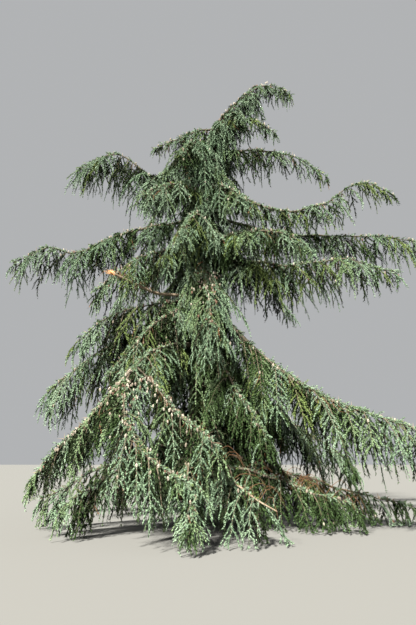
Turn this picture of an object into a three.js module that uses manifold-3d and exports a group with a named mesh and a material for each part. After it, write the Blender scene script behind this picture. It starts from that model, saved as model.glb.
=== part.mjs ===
// Weeping blue-green cedar, about 14.5 m tall: trunk with an arching leader,
// tapering boughs, and one closed uneven solid for each hanging mass of needles.
// Units: millimetres. +Z up. Origin: centre of the flat ground-level cut of the trunk.
import * as THREE from 'three';
import { mergeVertices } from 'three/addons/utils/BufferGeometryUtils.js';
import Module from 'manifold-3d';

// ---------------------------------------------------------------- driving sizes (metres)
const M = 1000;                    // metres to millimetres
const TRUNK_SIDES = 13;
const TRUNK_DBH_R = 0.27;          // trunk radius at breast height
const FLARE_R = 0.17;              // extra radius of the root flare at the ground
const FLARE_H = 0.55;              // height over which the flare dies away
const FLARE_LOBES = 5;             // buttresses round the foot
const STEM_TOP_Z = 14.36;          // height of the leader's tip
const BOUGH_SIDES = 6;
const BOUGH_TIP_R = 0.018;         // radius where a limb enters its mass
const BROKEN_R = 0.042;            // radius of the snapped bough at its stub
const CREST_RISE = 0.09;           // needles standing above a limb
const STATION = 1.04;              // distance between sections of a mass
const GAP = 0.018;                 // clearance kept round a neighbour
const GROUND_CLEAR = 0.03;         // lowest needles above the ground
const WOBBLE = 0.17;               // unevenness of a mass

// centre line of the stem: height, offset to the right, offset away from the viewer.
// It stands nearly straight, leans at the top, and the leader arches over.
const STEM = [
  [0.00, 0.00, 0.00], [2.00, 0.05, 0.00], [5.00, 0.11, 0.02], [8.00, 0.15, 0.03],
  [10.40, 0.21, 0.02], [11.70, 0.33, 0.00], [12.60, 0.56, -0.02], [13.15, 0.98, -0.04],
  [13.70, 1.48, -0.04], [14.18, 2.02, -0.03], [STEM_TOP_Z, 2.42, -0.02],
];
// stem radius at those heights
const STEM_R = [TRUNK_DBH_R + 0.01, TRUNK_DBH_R - 0.015, 0.215, 0.165, 0.115, 0.085, 0.062, 0.047, 0.035, 0.024, 0.014];

// Boughs. az: compass direction in degrees, 0 to the right, -90 towards the viewer.
// z: height on the stem. reach: length in plan. swing: turn in plan by the tip, degrees.
// h: height of the limb above z at equal steps of its reach.
// r: radius at the stem. end: where the limb enters its mass, as a part of the reach.
const BOUGHS = {
  top_left:      { az: 178, z: 12.55, reach: 2.05, swing: -8, h: [-0.06, -0.20, -0.36, -0.50], r: 0.030 },
  top_right:     { az: -28, z: 12.60, reach: 2.15, swing: 10, h: [0.10, 0.06, -0.15, -0.62], r: 0.030 },
  top_front:     { az: -128, z: 11.90, reach: 1.85, swing: 12, h: [-0.12, -0.62, -1.45], r: 0.032 },
  top_back:      { az: 66, z: 12.00, reach: 2.20, swing: -10, h: [0.00, -0.28, -0.95], r: 0.034 },
  right_1:       { az: 0, z: 11.75, reach: 4.10, swing: 4, h: [0.00, -0.02, 0.00, -0.28, -0.83], r: 0.042 },
  right_2:       { az: -5, z: 10.70, reach: 6.20, swing: 3, h: [-0.41, -0.84, -1.24, -1.32, -1.04, -0.50, -0.36, -0.74], r: 0.055, end: 0.12 },
  right_3:       { az: 13, z: 9.40, reach: 7.65, swing: -8, h: [-0.22, -0.44, -0.50, -0.48, -0.52, -0.90], r: 0.062, end: 0.13 },
  right_4:       { az: -52, z: 8.30, reach: 3.90, swing: 12, h: [-0.10, -0.15, -0.22, -0.55, -1.20], r: 0.055 },
  right_5:       { az: -16, z: 7.80, reach: 5.90, swing: 3, h: [-0.20, -0.38, -0.44, -0.50, -0.90], r: 0.065, end: 0.11 },
  right_6:       { az: -33, z: 6.45, reach: 7.00, swing: 6, h: [-1.02, -2.20, -3.02, -3.62, -4.04, -4.50], r: 0.085, end: 0.15 },
  right_low:     { az: -12, z: 1.75, reach: 5.90, swing: 4, h: [-0.02, -0.33, -0.70, -0.98, -1.30], r: 0.075, end: 0.18 },
  left_2:        { az: 171, z: 11.90, reach: 4.35, swing: 6, h: [-0.36, -0.78, -1.02, -0.46, -0.18, -0.36, -0.72], r: 0.050, end: 0.12 },
  left_3:        { az: 186, z: 9.35, reach: 5.85, swing: -4, h: [-0.35, -0.54, -0.98, -1.34, -1.30, -1.75], r: 0.060, end: 0.12 },
  left_broken:   { az: 212, z: 6.60, reach: 3.00, swing: 4, h: [-0.12, -0.17, -0.06, 0.06], r: 0.065, end: 1.0, stub: true },
  left_under:    { az: 207, z: 6.40, reach: 3.55, swing: -6, h: [-0.12, -0.35, -0.72, -1.45], r: 0.040 },
  left_5:        { az: 184, z: 5.70, reach: 4.30, swing: 4, h: [-0.12, -0.50, -1.15, -2.20], r: 0.080, end: 0.18 },
  left_low:      { az: 196, z: 2.10, reach: 4.10, swing: 6, h: [-0.10, -0.40, -0.85, -1.35], r: 0.065, end: 0.20 },
  front_1:       { az: -58, z: 10.20, reach: 2.30, swing: 8, h: [-0.15, -0.60, -1.40], r: 0.040 },
  front_2:       { az: -122, z: 10.10, reach: 2.60, swing: -10, h: [-0.05, -0.40, -1.15], r: 0.042 },
  front_3:       { az: -146, z: 8.00, reach: 3.30, swing: -8, h: [-0.05, -0.35, -0.90, -1.75], r: 0.050 },
  front_mid:     { az: -97, z: 9.35, reach: 2.35, swing: -4, h: [-0.22, -0.80, -1.70], r: 0.045 },
  front_4:       { az: -80, z: 7.62, reach: 2.50, swing: -2, h: [-0.30, -0.95, -1.75, -2.80], r: 0.050, end: 0.12 },
  front_5:       { az: -134, z: 6.10, reach: 3.10, swing: -6, h: [-0.12, -0.60, -1.40, -2.40], r: 0.055 },
  front_6:       { az: -60, z: 5.20, reach: 3.00, swing: 4, h: [-0.45, -1.20, -2.10, -3.00], r: 0.055 },
  front_left:    { az: -122, z: 4.95, reach: 3.45, swing: 4, h: [-0.06, -0.28, -0.72, -1.30], r: 0.095, end: 0.22 },
  ridge_left:    { on: 'front_left', at: 0.97, az: 180, reach: 2.05, swing: 10, h: [-0.62, -1.24, -1.76, -2.45], r: 0.028 },
  ridge_front:   { on: 'front_left', at: 0.97, az: -112, reach: 2.35, swing: 60, h: [-0.72, -1.48, -2.02, -2.48], r: 0.028 },
  ridge_right:   { on: 'front_left', at: 0.90, az: -22, reach: 2.45, swing: -14, h: [-0.60, -1.20, -1.54, -2.02], r: 0.028 },
  front_low:     { az: -93, z: 2.30, reach: 5.40, swing: 3, h: [-0.05, -0.25, -0.60, -1.05, -1.75], r: 0.075 },
  front_low_2:   { az: -96, z: 2.60, reach: 4.95, swing: 26, h: [-0.16, -0.48, -0.95, -1.50, -1.93], r: 0.075, end: 0.16 },
  front_low_3:   { az: -36, z: 1.60, reach: 4.60, swing: 4, h: [-0.08, -0.35, -0.66, -1.00], r: 0.065 },
  front_low_4:   { az: -124, z: 2.20, reach: 4.40, swing: -4, h: [-0.08, -0.40, -0.90, -1.50], r: 0.065 },
  back_1:        { az: 122, z: 11.10, reach: 3.20, swing: 8, h: [0.05, 0.08, -0.25, -0.95], r: 0.045 },
  back_2:        { az: 84, z: 9.90, reach: 4.10, swing: -6, h: [-0.20, -0.42, -0.35, -0.55, -1.20], r: 0.055 },
  back_3:        { az: 44, z: 8.60, reach: 5.10, swing: 5, h: [-0.12, -0.22, -0.40, -0.85, -1.60], r: 0.065 },
  back_4:        { az: 139, z: 8.40, reach: 5.00, swing: -6, h: [-0.12, -0.30, -0.42, -0.75, -1.50], r: 0.065 },
  back_5:        { az: 100, z: 6.90, reach: 5.30, swing: 6, h: [-0.35, -0.95, -1.60, -2.30, -3.20], r: 0.080 },
  back_6:        { az: 60, z: 5.80, reach: 5.80, swing: -5, h: [-0.40, -1.10, -1.90, -2.60, -3.40], r: 0.085 },
  back_7:        { az: 156, z: 5.40, reach: 5.20, swing: -4, h: [-0.30, -0.90, -1.65, -2.50, -3.45], r: 0.080 },
  back_8:        { az: 22, z: 4.30, reach: 5.90, swing: 4, h: [-0.30, -0.90, -1.60, -2.25, -3.00], r: 0.080 },
  back_9:        { az: 116, z: 3.10, reach: 5.20, swing: 5, h: [-0.15, -0.55, -1.05, -1.60, -2.25], r: 0.075 },
  back_10:       { az: 74, z: 2.50, reach: 4.90, swing: -4, h: [-0.12, -0.45, -0.95, -1.55], r: 0.065 },
};

// Masses of needles. on: the bough it hangs from. a, b: the part of the reach it covers.
// w: half width. d0, d1: how far the curtains hang at its two ends. tone: needle colour.
const MASSES = [
  { n: 'leader', on: 'leader', a: 0.02, b: 1.0, w: 0.52, d0: 1.30, d1: 0.55, tone: 0 },
  { n: 'right_1', on: 'right_1', a: 0.07, b: 1.0, w: 0.70, d0: 1.45, d1: 0.50, tone: 0 },
  { n: 'right_2_inner', on: 'right_2', a: 0.12, b: 0.58, w: 0.80, d0: 1.25, d1: 1.20, tone: 0 },
  { n: 'right_2_outer', on: 'right_2', a: 0.585, b: 1.0, w: 0.66, d0: 1.30, d1: 0.50, tone: 1 },
  { n: 'left_2', on: 'left_2', a: 0.12, b: 1.0, w: 0.80, d0: 1.90, d1: 1.45, tone: 1 },
  { n: 'right_3_inner', on: 'right_3', a: 0.13, b: 0.60, w: 0.86, d0: 1.50, d1: 1.50, tone: 0 },
  { n: 'right_3_outer', on: 'right_3', a: 0.605, b: 1.0, w: 0.84, d0: 1.75, d1: 1.25, tone: 1 },
  { n: 'left_3_inner', on: 'left_3', a: 0.12, b: 0.66, w: 0.90, d0: 1.80, d1: 1.60, tone: 0 },
  { n: 'left_3_outer', on: 'left_3', a: 0.665, b: 1.0, w: 0.80, d0: 1.50, d1: 1.20, tone: 1 },
  { n: 'top_left', on: 'top_left', a: 0.06, b: 1.0, w: 0.42, d0: 0.85, d1: 0.30, tone: 1 },
  { n: 'top_right', on: 'top_right', a: 0.10, b: 1.0, w: 0.42, d0: 0.75, d1: 0.35, tone: 1 },
  { n: 'top_front', on: 'top_front', a: 0.06, b: 1.0, w: 0.90, d0: 1.60, d1: 1.00, tone: 0 },
  { n: 'top_back', on: 'top_back', a: 0.06, b: 1.0, w: 0.80, d0: 1.35, d1: 0.80, tone: 1 },
  { n: 'back_1', on: 'back_1', a: 0.10, b: 1.0, w: 0.85, d0: 1.40, d1: 0.70, tone: 0 },
  { n: 'front_1', on: 'front_1', a: 0.10, b: 1.0, w: 0.95, d0: 1.65, d1: 1.05, tone: 1 },
  { n: 'front_2', on: 'front_2', a: 0.10, b: 1.0, w: 0.95, d0: 1.70, d1: 1.10, tone: 0 },
  { n: 'back_2', on: 'back_2', a: 0.07, b: 1.0, w: 0.95, d0: 1.60, d1: 0.95, tone: 1 },
  { n: 'right_4', on: 'right_4', a: 0.07, b: 1.0, w: 1.00, d0: 1.70, d1: 1.20, tone: 0 },
  { n: 'right_5', on: 'right_5', a: 0.11, b: 1.0, w: 0.92, d0: 1.85, d1: 1.20, tone: 0 },
  { n: 'front_mid', on: 'front_mid', a: 0.08, b: 1.0, w: 1.00, d0: 1.75, d1: 1.20, tone: 0 },
  { n: 'front_3', on: 'front_3', a: 0.12, b: 1.0, w: 0.98, d0: 1.60, d1: 1.20, tone: 1 },
  { n: 'front_4', on: 'front_4', a: 0.12, b: 1.0, w: 1.35, d0: 1.55, d1: 1.50, tone: 1 },
  { n: 'back_3', on: 'back_3', a: 0.07, b: 1.0, w: 1.05, d0: 1.75, d1: 1.10, tone: 0 },
  { n: 'back_4', on: 'back_4', a: 0.07, b: 1.0, w: 1.05, d0: 1.75, d1: 1.10, tone: 1 },
  { n: 'left_broken', on: 'left_under', a: 0.14, b: 1.0, w: 1.00, d0: 2.10, d1: 1.90, tone: 1 },
  { n: 'front_5', on: 'front_5', a: 0.07, b: 1.0, w: 1.00, d0: 1.90, d1: 1.50, tone: 0 },
  { n: 'front_6', on: 'front_6', a: 0.08, b: 1.0, w: 1.15, d0: 1.80, d1: 1.30, tone: 1 },
  { n: 'right_6_inner', on: 'right_6', a: 0.15, b: 0.58, w: 1.15, d0: 2.45, d1: 2.40, tone: 0 },
  { n: 'right_6_outer', on: 'right_6', a: 0.585, b: 1.0, w: 1.05, d0: 1.95, d1: 1.10, tone: 1 },
  { n: 'left_5', on: 'left_5', a: 0.18, b: 1.0, w: 1.08, d0: 2.50, d1: 1.90, tone: 0 },
  { n: 'back_5', on: 'back_5', a: 0.07, b: 1.0, w: 1.15, d0: 1.95, d1: 1.50, tone: 0 },
  { n: 'back_6', on: 'back_6', a: 0.07, b: 1.0, w: 1.20, d0: 1.90, d1: 1.60, tone: 1 },
  { n: 'back_7', on: 'back_7', a: 0.07, b: 1.0, w: 1.15, d0: 2.50, d1: 2.00, tone: 1 },
  { n: 'back_8', on: 'back_8', a: 0.07, b: 1.0, w: 1.15, d0: 2.70, d1: 1.40, tone: 0 },
  { n: 'back_9', on: 'back_9', a: 0.07, b: 1.0, w: 1.15, d0: 1.10, d1: 0.85, tone: 1 },
  { n: 'back_10', on: 'back_10', a: 0.07, b: 1.0, w: 1.15, d0: 2.00, d1: 1.20, tone: 0 },
  { n: 'ridge_left', on: 'ridge_left', a: 0.00, b: 1.0, w: 0.95, d0: 2.10, d1: 0.95, tone: 0 },
  { n: 'ridge_front', on: 'ridge_front', a: 0.12, b: 1.0, w: 0.95, d0: 1.80, d1: 0.95, tone: 1 },
  { n: 'ridge_right', on: 'ridge_right', a: 0.14, b: 1.0, w: 0.95, d0: 1.80, d1: 0.95, tone: 0 },
  { n: 'front_left', on: 'front_left', a: 0.22, b: 0.95, w: 0.85, d0: 1.90, d1: 1.40, tone: 1 },
  { n: 'front_low', on: 'front_low', a: 0.08, b: 1.0, w: 1.05, d0: 2.10, d1: 1.00, tone: 1 },
  { n: 'front_low_2', on: 'front_low_2', a: 0.16, b: 0.93, w: 0.98, d0: 2.30, d1: 1.00, tone: 0 },
  { n: 'front_low_3', on: 'front_low_3', a: 0.08, b: 1.0, w: 0.98, d0: 2.00, d1: 1.10, tone: 0 },
  { n: 'front_low_4', on: 'front_low_4', a: 0.08, b: 1.0, w: 0.98, d0: 2.10, d1: 1.50, tone: 1 },
  { n: 'right_low', on: 'right_low', a: 0.18, b: 1.0, w: 0.98, d0: 2.00, d1: 1.00, tone: 1 },
  { n: 'left_low', on: 'left_low', a: 0.20, b: 1.0, w: 1.00, d0: 2.00, d1: 1.30, tone: 0 },
];

// ---------------------------------------------------------------- small helpers
const rad = (deg) => deg * Math.PI / 180;
function random(seed) {                                  // repeatable numbers from 0 to 1
  let t = seed >>> 0;
  return () => {
    t = (t + 0x6D2B79F5) >>> 0;
    let r = Math.imul(t ^ (t >>> 15), 1 | t);
    r = (r + Math.imul(r ^ (r >>> 7), 61 | r)) ^ r;
    return ((r ^ (r >>> 14)) >>> 0) / 4294967296;
  };
}
function smooth(values, t) {                             // cubic through equally spaced values
  const n = values.length - 1;
  const f = Math.min(Math.max(t, 0), 1) * n;
  const i = Math.min(Math.floor(f), n - 1);
  const u = f - i;
  const p1 = values[i], p2 = values[i + 1];
  const p0 = i > 0 ? values[i - 1] : 2 * p1 - p2;
  const p3 = i + 2 <= n ? values[i + 2] : 2 * p2 - p1;
  return 0.5 * ((2 * p1) + (p2 - p0) * u + (2 * p0 - 5 * p1 + 4 * p2 - p3) * u * u + (3 * p1 - p0 - 3 * p2 + p3) * u * u * u);
}
function stemAt(z) {                                     // centre of the stem at a height
  for (let i = 1; i < STEM.length; i += 1) {
    if (z <= STEM[i][0] || i === STEM.length - 1) {
      const a = STEM[i - 1], b = STEM[i];
      const u = (z - a[0]) / (b[0] - a[0]);
      return new THREE.Vector3(a[1] + (b[1] - a[1]) * u, a[2] + (b[2] - a[2]) * u, z);
    }
  }
  return null;
}
function crest(name, s) {                                // point on the centre line of a bough
  if (name === 'leader') {                               // the leader runs on past the stem's tip and droops
    const x = 0.80 + 2.50 * s;
    const z = smooth([12.96, 13.52, 14.04, 14.34, 14.31, 13.98], s);
    return new THREE.Vector3(x, -0.03, z);
  }
  const b = BOUGHS[name];
  const start = b.on ? crest(b.on, b.at) : stemAt(b.z);
  const az = rad(b.az + b.swing * s);
  const r = b.reach * s;
  return new THREE.Vector3(start.x + r * Math.cos(az), start.y + r * Math.sin(az), start.z + smooth([0, ...b.h], s));
}

// ---------------------------------------------------------------- closed lofts
// rings: arrays of the same number of points, in metres
function loft(rings) {
  const n = rings[0].length;
  const pos = [];
  for (const ring of rings) for (const p of ring) pos.push(p.x * M, p.y * M, p.z * M);
  const index = [];
  for (let i = 0; i + 1 < rings.length; i += 1) {
    for (let j = 0; j < n; j += 1) {
      const a = i * n + j, b = i * n + (j + 1) % n, c = a + n, d = b + n;
      index.push(a, b, d, a, d, c);
    }
  }
  const cap = (base, flip) => {
    for (let j = 1; j + 1 < n; j += 1) {
      if (flip) index.push(base, base + j + 1, base + j);
      else index.push(base, base + j, base + j + 1);
    }
  };
  cap(0, true);
  cap((rings.length - 1) * n, false);
  let vol = 0;
  for (let k = 0; k < index.length; k += 3) {
    const [a, b, c] = [index[k] * 3, index[k + 1] * 3, index[k + 2] * 3];
    vol += pos[a] * (pos[b + 1] * pos[c + 2] - pos[b + 2] * pos[c + 1])
      - pos[a + 1] * (pos[b] * pos[c + 2] - pos[b + 2] * pos[c])
      + pos[a + 2] * (pos[b] * pos[c + 1] - pos[b + 1] * pos[c]);
  }
  if (vol < 0) for (let k = 0; k < index.length; k += 3) [index[k + 1], index[k + 2]] = [index[k + 2], index[k + 1]];
  const g = new THREE.BufferGeometry();
  g.setAttribute('position', new THREE.Float32BufferAttribute(pos, 3));
  g.setIndex(index);
  return g;
}

function stemSolid(grow) {
  const rings = [];
  const levels = [0, 0.12, 0.30, 0.60, 1.3, 2.6, 4.2, 6.0, 8.0, 9.6, 10.8, 11.7, 12.2, 12.6, 12.9, 13.15, 13.45, 13.72, 13.98, 14.2, STEM_TOP_Z];
  levels.forEach((z, k) => {
    const c = stemAt(z);
    const up = stemAt(Math.min(z + 0.05, STEM_TOP_Z)).sub(stemAt(Math.max(z - 0.05, 0))).normalize();
    if (z < 1) up.set(0, 0, 1);
    let i = 1;
    while (i < STEM.length - 1 && z > STEM[i][0]) i += 1;
    const u = (z - STEM[i - 1][0]) / (STEM[i][0] - STEM[i - 1][0]);
    const r0 = STEM_R[i - 1] + (STEM_R[i] - STEM_R[i - 1]) * u;
    const side = new THREE.Vector3(0, 1, 0);
    const across = new THREE.Vector3().crossVectors(side, up).normalize();
    const ring = [];
    for (let j = 0; j < TRUNK_SIDES; j += 1) {
      const t = 2 * Math.PI * j / TRUNK_SIDES;
      const flare = FLARE_R * Math.exp(-z / (FLARE_H * 0.38)) * (1 + 0.45 * Math.cos(FLARE_LOBES * t + 0.7));
      const r = r0 * (1 + 0.03 * Math.sin(3 * t + z)) + flare + grow;
      ring.push(c.clone().addScaledVector(across, r * Math.cos(t)).addScaledVector(side, r * Math.sin(t)));
    }
    rings.push(ring);
    if (grow > 0 && (k === 0 || k === levels.length - 1)) {
      const end = ring.map((p) => p.clone().addScaledVector(up, k === 0 ? -grow : grow));
      if (k === 0) rings.unshift(end); else rings.push(end);
    }
  });
  return loft(rings);
}

function boughSolid(name, grow) {
  const b = BOUGHS[name];
  const end = b.end;
  const steps = Math.max(3, Math.round(b.reach * end / 0.42));
  const rings = [];
  for (let k = 0; k <= steps; k += 1) {
    const s = end * k / steps;
    const c = crest(name, s);
    const dir = crest(name, Math.min(s + 0.01, 1)).sub(crest(name, Math.max(s - 0.01, 0))).normalize();
    const side = new THREE.Vector3(-dir.y, dir.x, 0).normalize();
    const over = new THREE.Vector3().crossVectors(side, dir).normalize();
    const tip = b.stub ? BROKEN_R : Math.max(BOUGH_TIP_R, b.r * (1 - 0.75 * end));
    const collar = b.r * 0.35 * Math.exp(-(s * b.reach) / 0.25);
    let r = b.r + (tip - b.r) * (k / steps) + collar + grow;
    const ring = [];
    for (let j = 0; j < BOUGH_SIDES; j += 1) {
      const t = 2 * Math.PI * (j + 0.5) / BOUGH_SIDES;
      ring.push(c.clone().addScaledVector(side, r * Math.cos(t)).addScaledVector(over, r * Math.sin(t)));
    }
    rings.push(ring);
    if (grow > 0 && k === steps) rings.push(ring.map((p) => p.clone().addScaledVector(dir, grow)));
  }
  return loft(rings);
}

// A mass: sections across its bough, a crest on top and uneven curtains below it.
function massSolid(m, seed, grow) {
  const rnd = random(seed * 7919 + 13);
  const steps = Math.max(3, Math.round(crest(m.on, m.b).distanceTo(crest(m.on, m.a)) / STATION));
  const rings = [];
  for (let k = 0; k <= steps; k += 1) {
    const f = k / steps;
    const s = m.a + (m.b - m.a) * f;
    const c = crest(m.on, s);
    const dir = crest(m.on, Math.min(s + 0.03, 1)).sub(crest(m.on, Math.max(s - 0.03, 0)));
    dir.z = 0;
    dir.normalize();
    const side = new THREE.Vector3(-dir.y, dir.x, 0);
    const open = m.b < 1 ? 0.80 : 0.22;                  // a mass that goes on in the next one stays wide
    const begin = m.a > 0.5 ? 0.85 : 0.45;
    const belly = Math.min(1, begin + (1 - begin) * f / 0.35) * (f > 0.6 ? 1 - (1 - open) * ((f - 0.6) / 0.4) ** 1.5 : 1);
    const jitter = () => 1 + WOBBLE * 2 * (rnd() - 0.5);
    const tip = m.b >= 1 && k === steps;
    const d = (m.d0 + (m.d1 - m.d0) * f) * jitter() * (tip ? 0.45 : 1);
    const wl = m.w * belly * jitter(), wr = m.w * belly * jitter();
    const sink = tip ? 0.10 : 0;
    const profile = [
      [0, CREST_RISE - sink],
      [wr * 0.50, -0.10 * d * jitter()],
      [wr * jitter(), -0.44 * d],
      [wr * 0.86 * jitter(), -0.80 * d * jitter()],
      [(wr - wl) * 0.25 + 0.12 * m.w * (rnd() - 0.5), -d],
      [-wl * 0.84 * jitter(), -0.82 * d * jitter()],
      [-wl * jitter(), -0.42 * d],
      [-wl * 0.50, -0.10 * d * jitter()],
    ];
    const mid = -0.4 * d;
    const ring = profile.map(([y, z]) => {
      const len = Math.hypot(y, z - mid) || 1;
      const p = c.clone().addScaledVector(side, y);
      // where the ground flattens a section, its lowest points are kept apart in height
      p.z = Math.max(p.z + z, GROUND_CLEAR + 0.05 * Math.abs(y) / m.w);
      p.addScaledVector(side, grow * y / len);
      p.z += grow * (z - mid) / len;
      return p;
    });
    rings.push(ring);
    if (grow > 0 && (k === 0 || k === steps)) {
      const end = ring.map((p) => p.clone().addScaledVector(dir, k === 0 ? -grow : grow));
      if (k === 0) rings.unshift(end); else rings.push(end);
    }
  }
  return loft(rings);
}

// ---------------------------------------------------------------- cutting neighbours apart
const wasm = await Module();
wasm.setup();
function toManifold(geometry) {
  const g = geometry.clone();
  g.deleteAttribute('normal');
  g.deleteAttribute('uv');
  const w = mergeVertices(g, 1e-4);
  return new wasm.Manifold(new wasm.Mesh({
    numProp: 3,
    vertProperties: new Float32Array(w.attributes.position.array),
    triVerts: new Uint32Array(w.index.array),
  }));
}
function toGeometry(manifold) {
  const mesh = manifold.getMesh();
  const pos = new Float32Array(mesh.vertProperties.length / mesh.numProp * 3);
  for (let i = 0; i < pos.length / 3; i += 1) for (let k = 0; k < 3; k += 1) pos[i * 3 + k] = mesh.vertProperties[i * mesh.numProp + k];
  const g = new THREE.BufferGeometry();
  g.setAttribute('position', new THREE.BufferAttribute(pos, 3));
  g.setIndex(Array.from(mesh.triVerts));
  return g;
}
function largest(manifold) {                             // an offcut beyond a neighbour is dropped
  let best = null;
  for (const piece of manifold.decompose()) if (!best || piece.volume() > best.volume()) best = piece;
  return best;
}
function boxesMeet(a, b) {
  const p = a.boundingBox(), q = b.boundingBox();
  return [0, 1, 2].every((k) => p.min[k] <= q.max[k] && q.min[k] <= p.max[k]);
}

const BARK = { color: 0x6f6257, roughness: 0.95, metalness: 0 };
const LIMB = { color: 0x7a6a5c, roughness: 0.92, metalness: 0 };
const NEEDLES = [
  { color: 0x5f7f72, roughness: 0.72, metalness: 0 },
  { color: 0x728f7f, roughness: 0.72, metalness: 0 },
];

const group = new THREE.Group();
const cutters = [], finished = [];
function simpler(solid) {                                // fewer facets, as far as no neighbour is touched
  for (const tolerance of [8, 5, 3, 1]) {
    const s = toManifold(toGeometry(largest(solid.simplify(tolerance))));
    if (finished.every((f) => !boxesMeet(s, f) || s.intersect(f).volume() <= 0)) return s;
  }
  return solid;
}
function addNode(name, solid, cutter, look) {
  let body = solid;
  for (const c of cutters) if (boxesMeet(body, c)) body = largest(body.subtract(c));
  body = simpler(body);
  finished.push(body);
  const mesh = new THREE.Mesh(toGeometry(body), new THREE.MeshStandardMaterial(look));
  mesh.name = name;
  group.add(mesh);
  cutters.push(cutter);
}

addNode('trunk', toManifold(stemSolid(0)), toManifold(stemSolid(GAP)), BARK);
for (const [name, b] of Object.entries(BOUGHS)) {
  if (b.end) addNode(`bough_${name}`, toManifold(boughSolid(name, 0)), toManifold(boughSolid(name, GAP)), LIMB);
}
MASSES.forEach((m, i) => {
  addNode(`needles_${m.n}`, toManifold(massSolid(m, i + 1, 0)), toManifold(massSolid(m, i + 1, GAP)), NEEDLES[m.tone]);
});

export default group;
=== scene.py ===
import math

import bpy
import numpy as np
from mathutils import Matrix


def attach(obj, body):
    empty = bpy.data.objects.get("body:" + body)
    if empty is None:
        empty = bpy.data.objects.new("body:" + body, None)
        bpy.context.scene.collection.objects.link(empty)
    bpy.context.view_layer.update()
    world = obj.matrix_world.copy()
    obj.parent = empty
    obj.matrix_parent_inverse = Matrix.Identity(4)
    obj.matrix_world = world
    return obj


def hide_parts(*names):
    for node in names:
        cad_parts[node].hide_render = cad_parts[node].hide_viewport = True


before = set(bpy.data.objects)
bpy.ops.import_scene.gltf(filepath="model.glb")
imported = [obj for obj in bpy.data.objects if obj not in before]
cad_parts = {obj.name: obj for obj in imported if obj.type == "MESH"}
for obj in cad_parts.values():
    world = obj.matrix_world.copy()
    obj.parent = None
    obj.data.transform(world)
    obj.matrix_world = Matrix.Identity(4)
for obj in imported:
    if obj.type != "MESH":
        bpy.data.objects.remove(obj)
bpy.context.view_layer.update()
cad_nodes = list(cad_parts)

# ------------------------------------------------------------------ sizes, in metres
# The stem and boughs repeat the sizes of the solid model, and so do the masses, some with longer curtains.
STEM = np.array([
    [0.00, 0.00, 0.00], [2.00, 0.05, 0.00], [5.00, 0.11, 0.02], [8.00, 0.15, 0.03],
    [10.40, 0.21, 0.02], [11.70, 0.33, 0.00], [12.60, 0.56, -0.02], [13.15, 0.98, -0.04],
    [13.70, 1.48, -0.04], [14.18, 2.02, -0.03], [14.36, 2.42, -0.02]])
STEM_R = np.array([0.28, 0.255, 0.215, 0.165, 0.115, 0.085, 0.062, 0.047, 0.035, 0.024, 0.014])
FLARE_R, FLARE_H, FLARE_LOBES = 0.17, 0.55, 5
GROUND = 0.035

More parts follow.
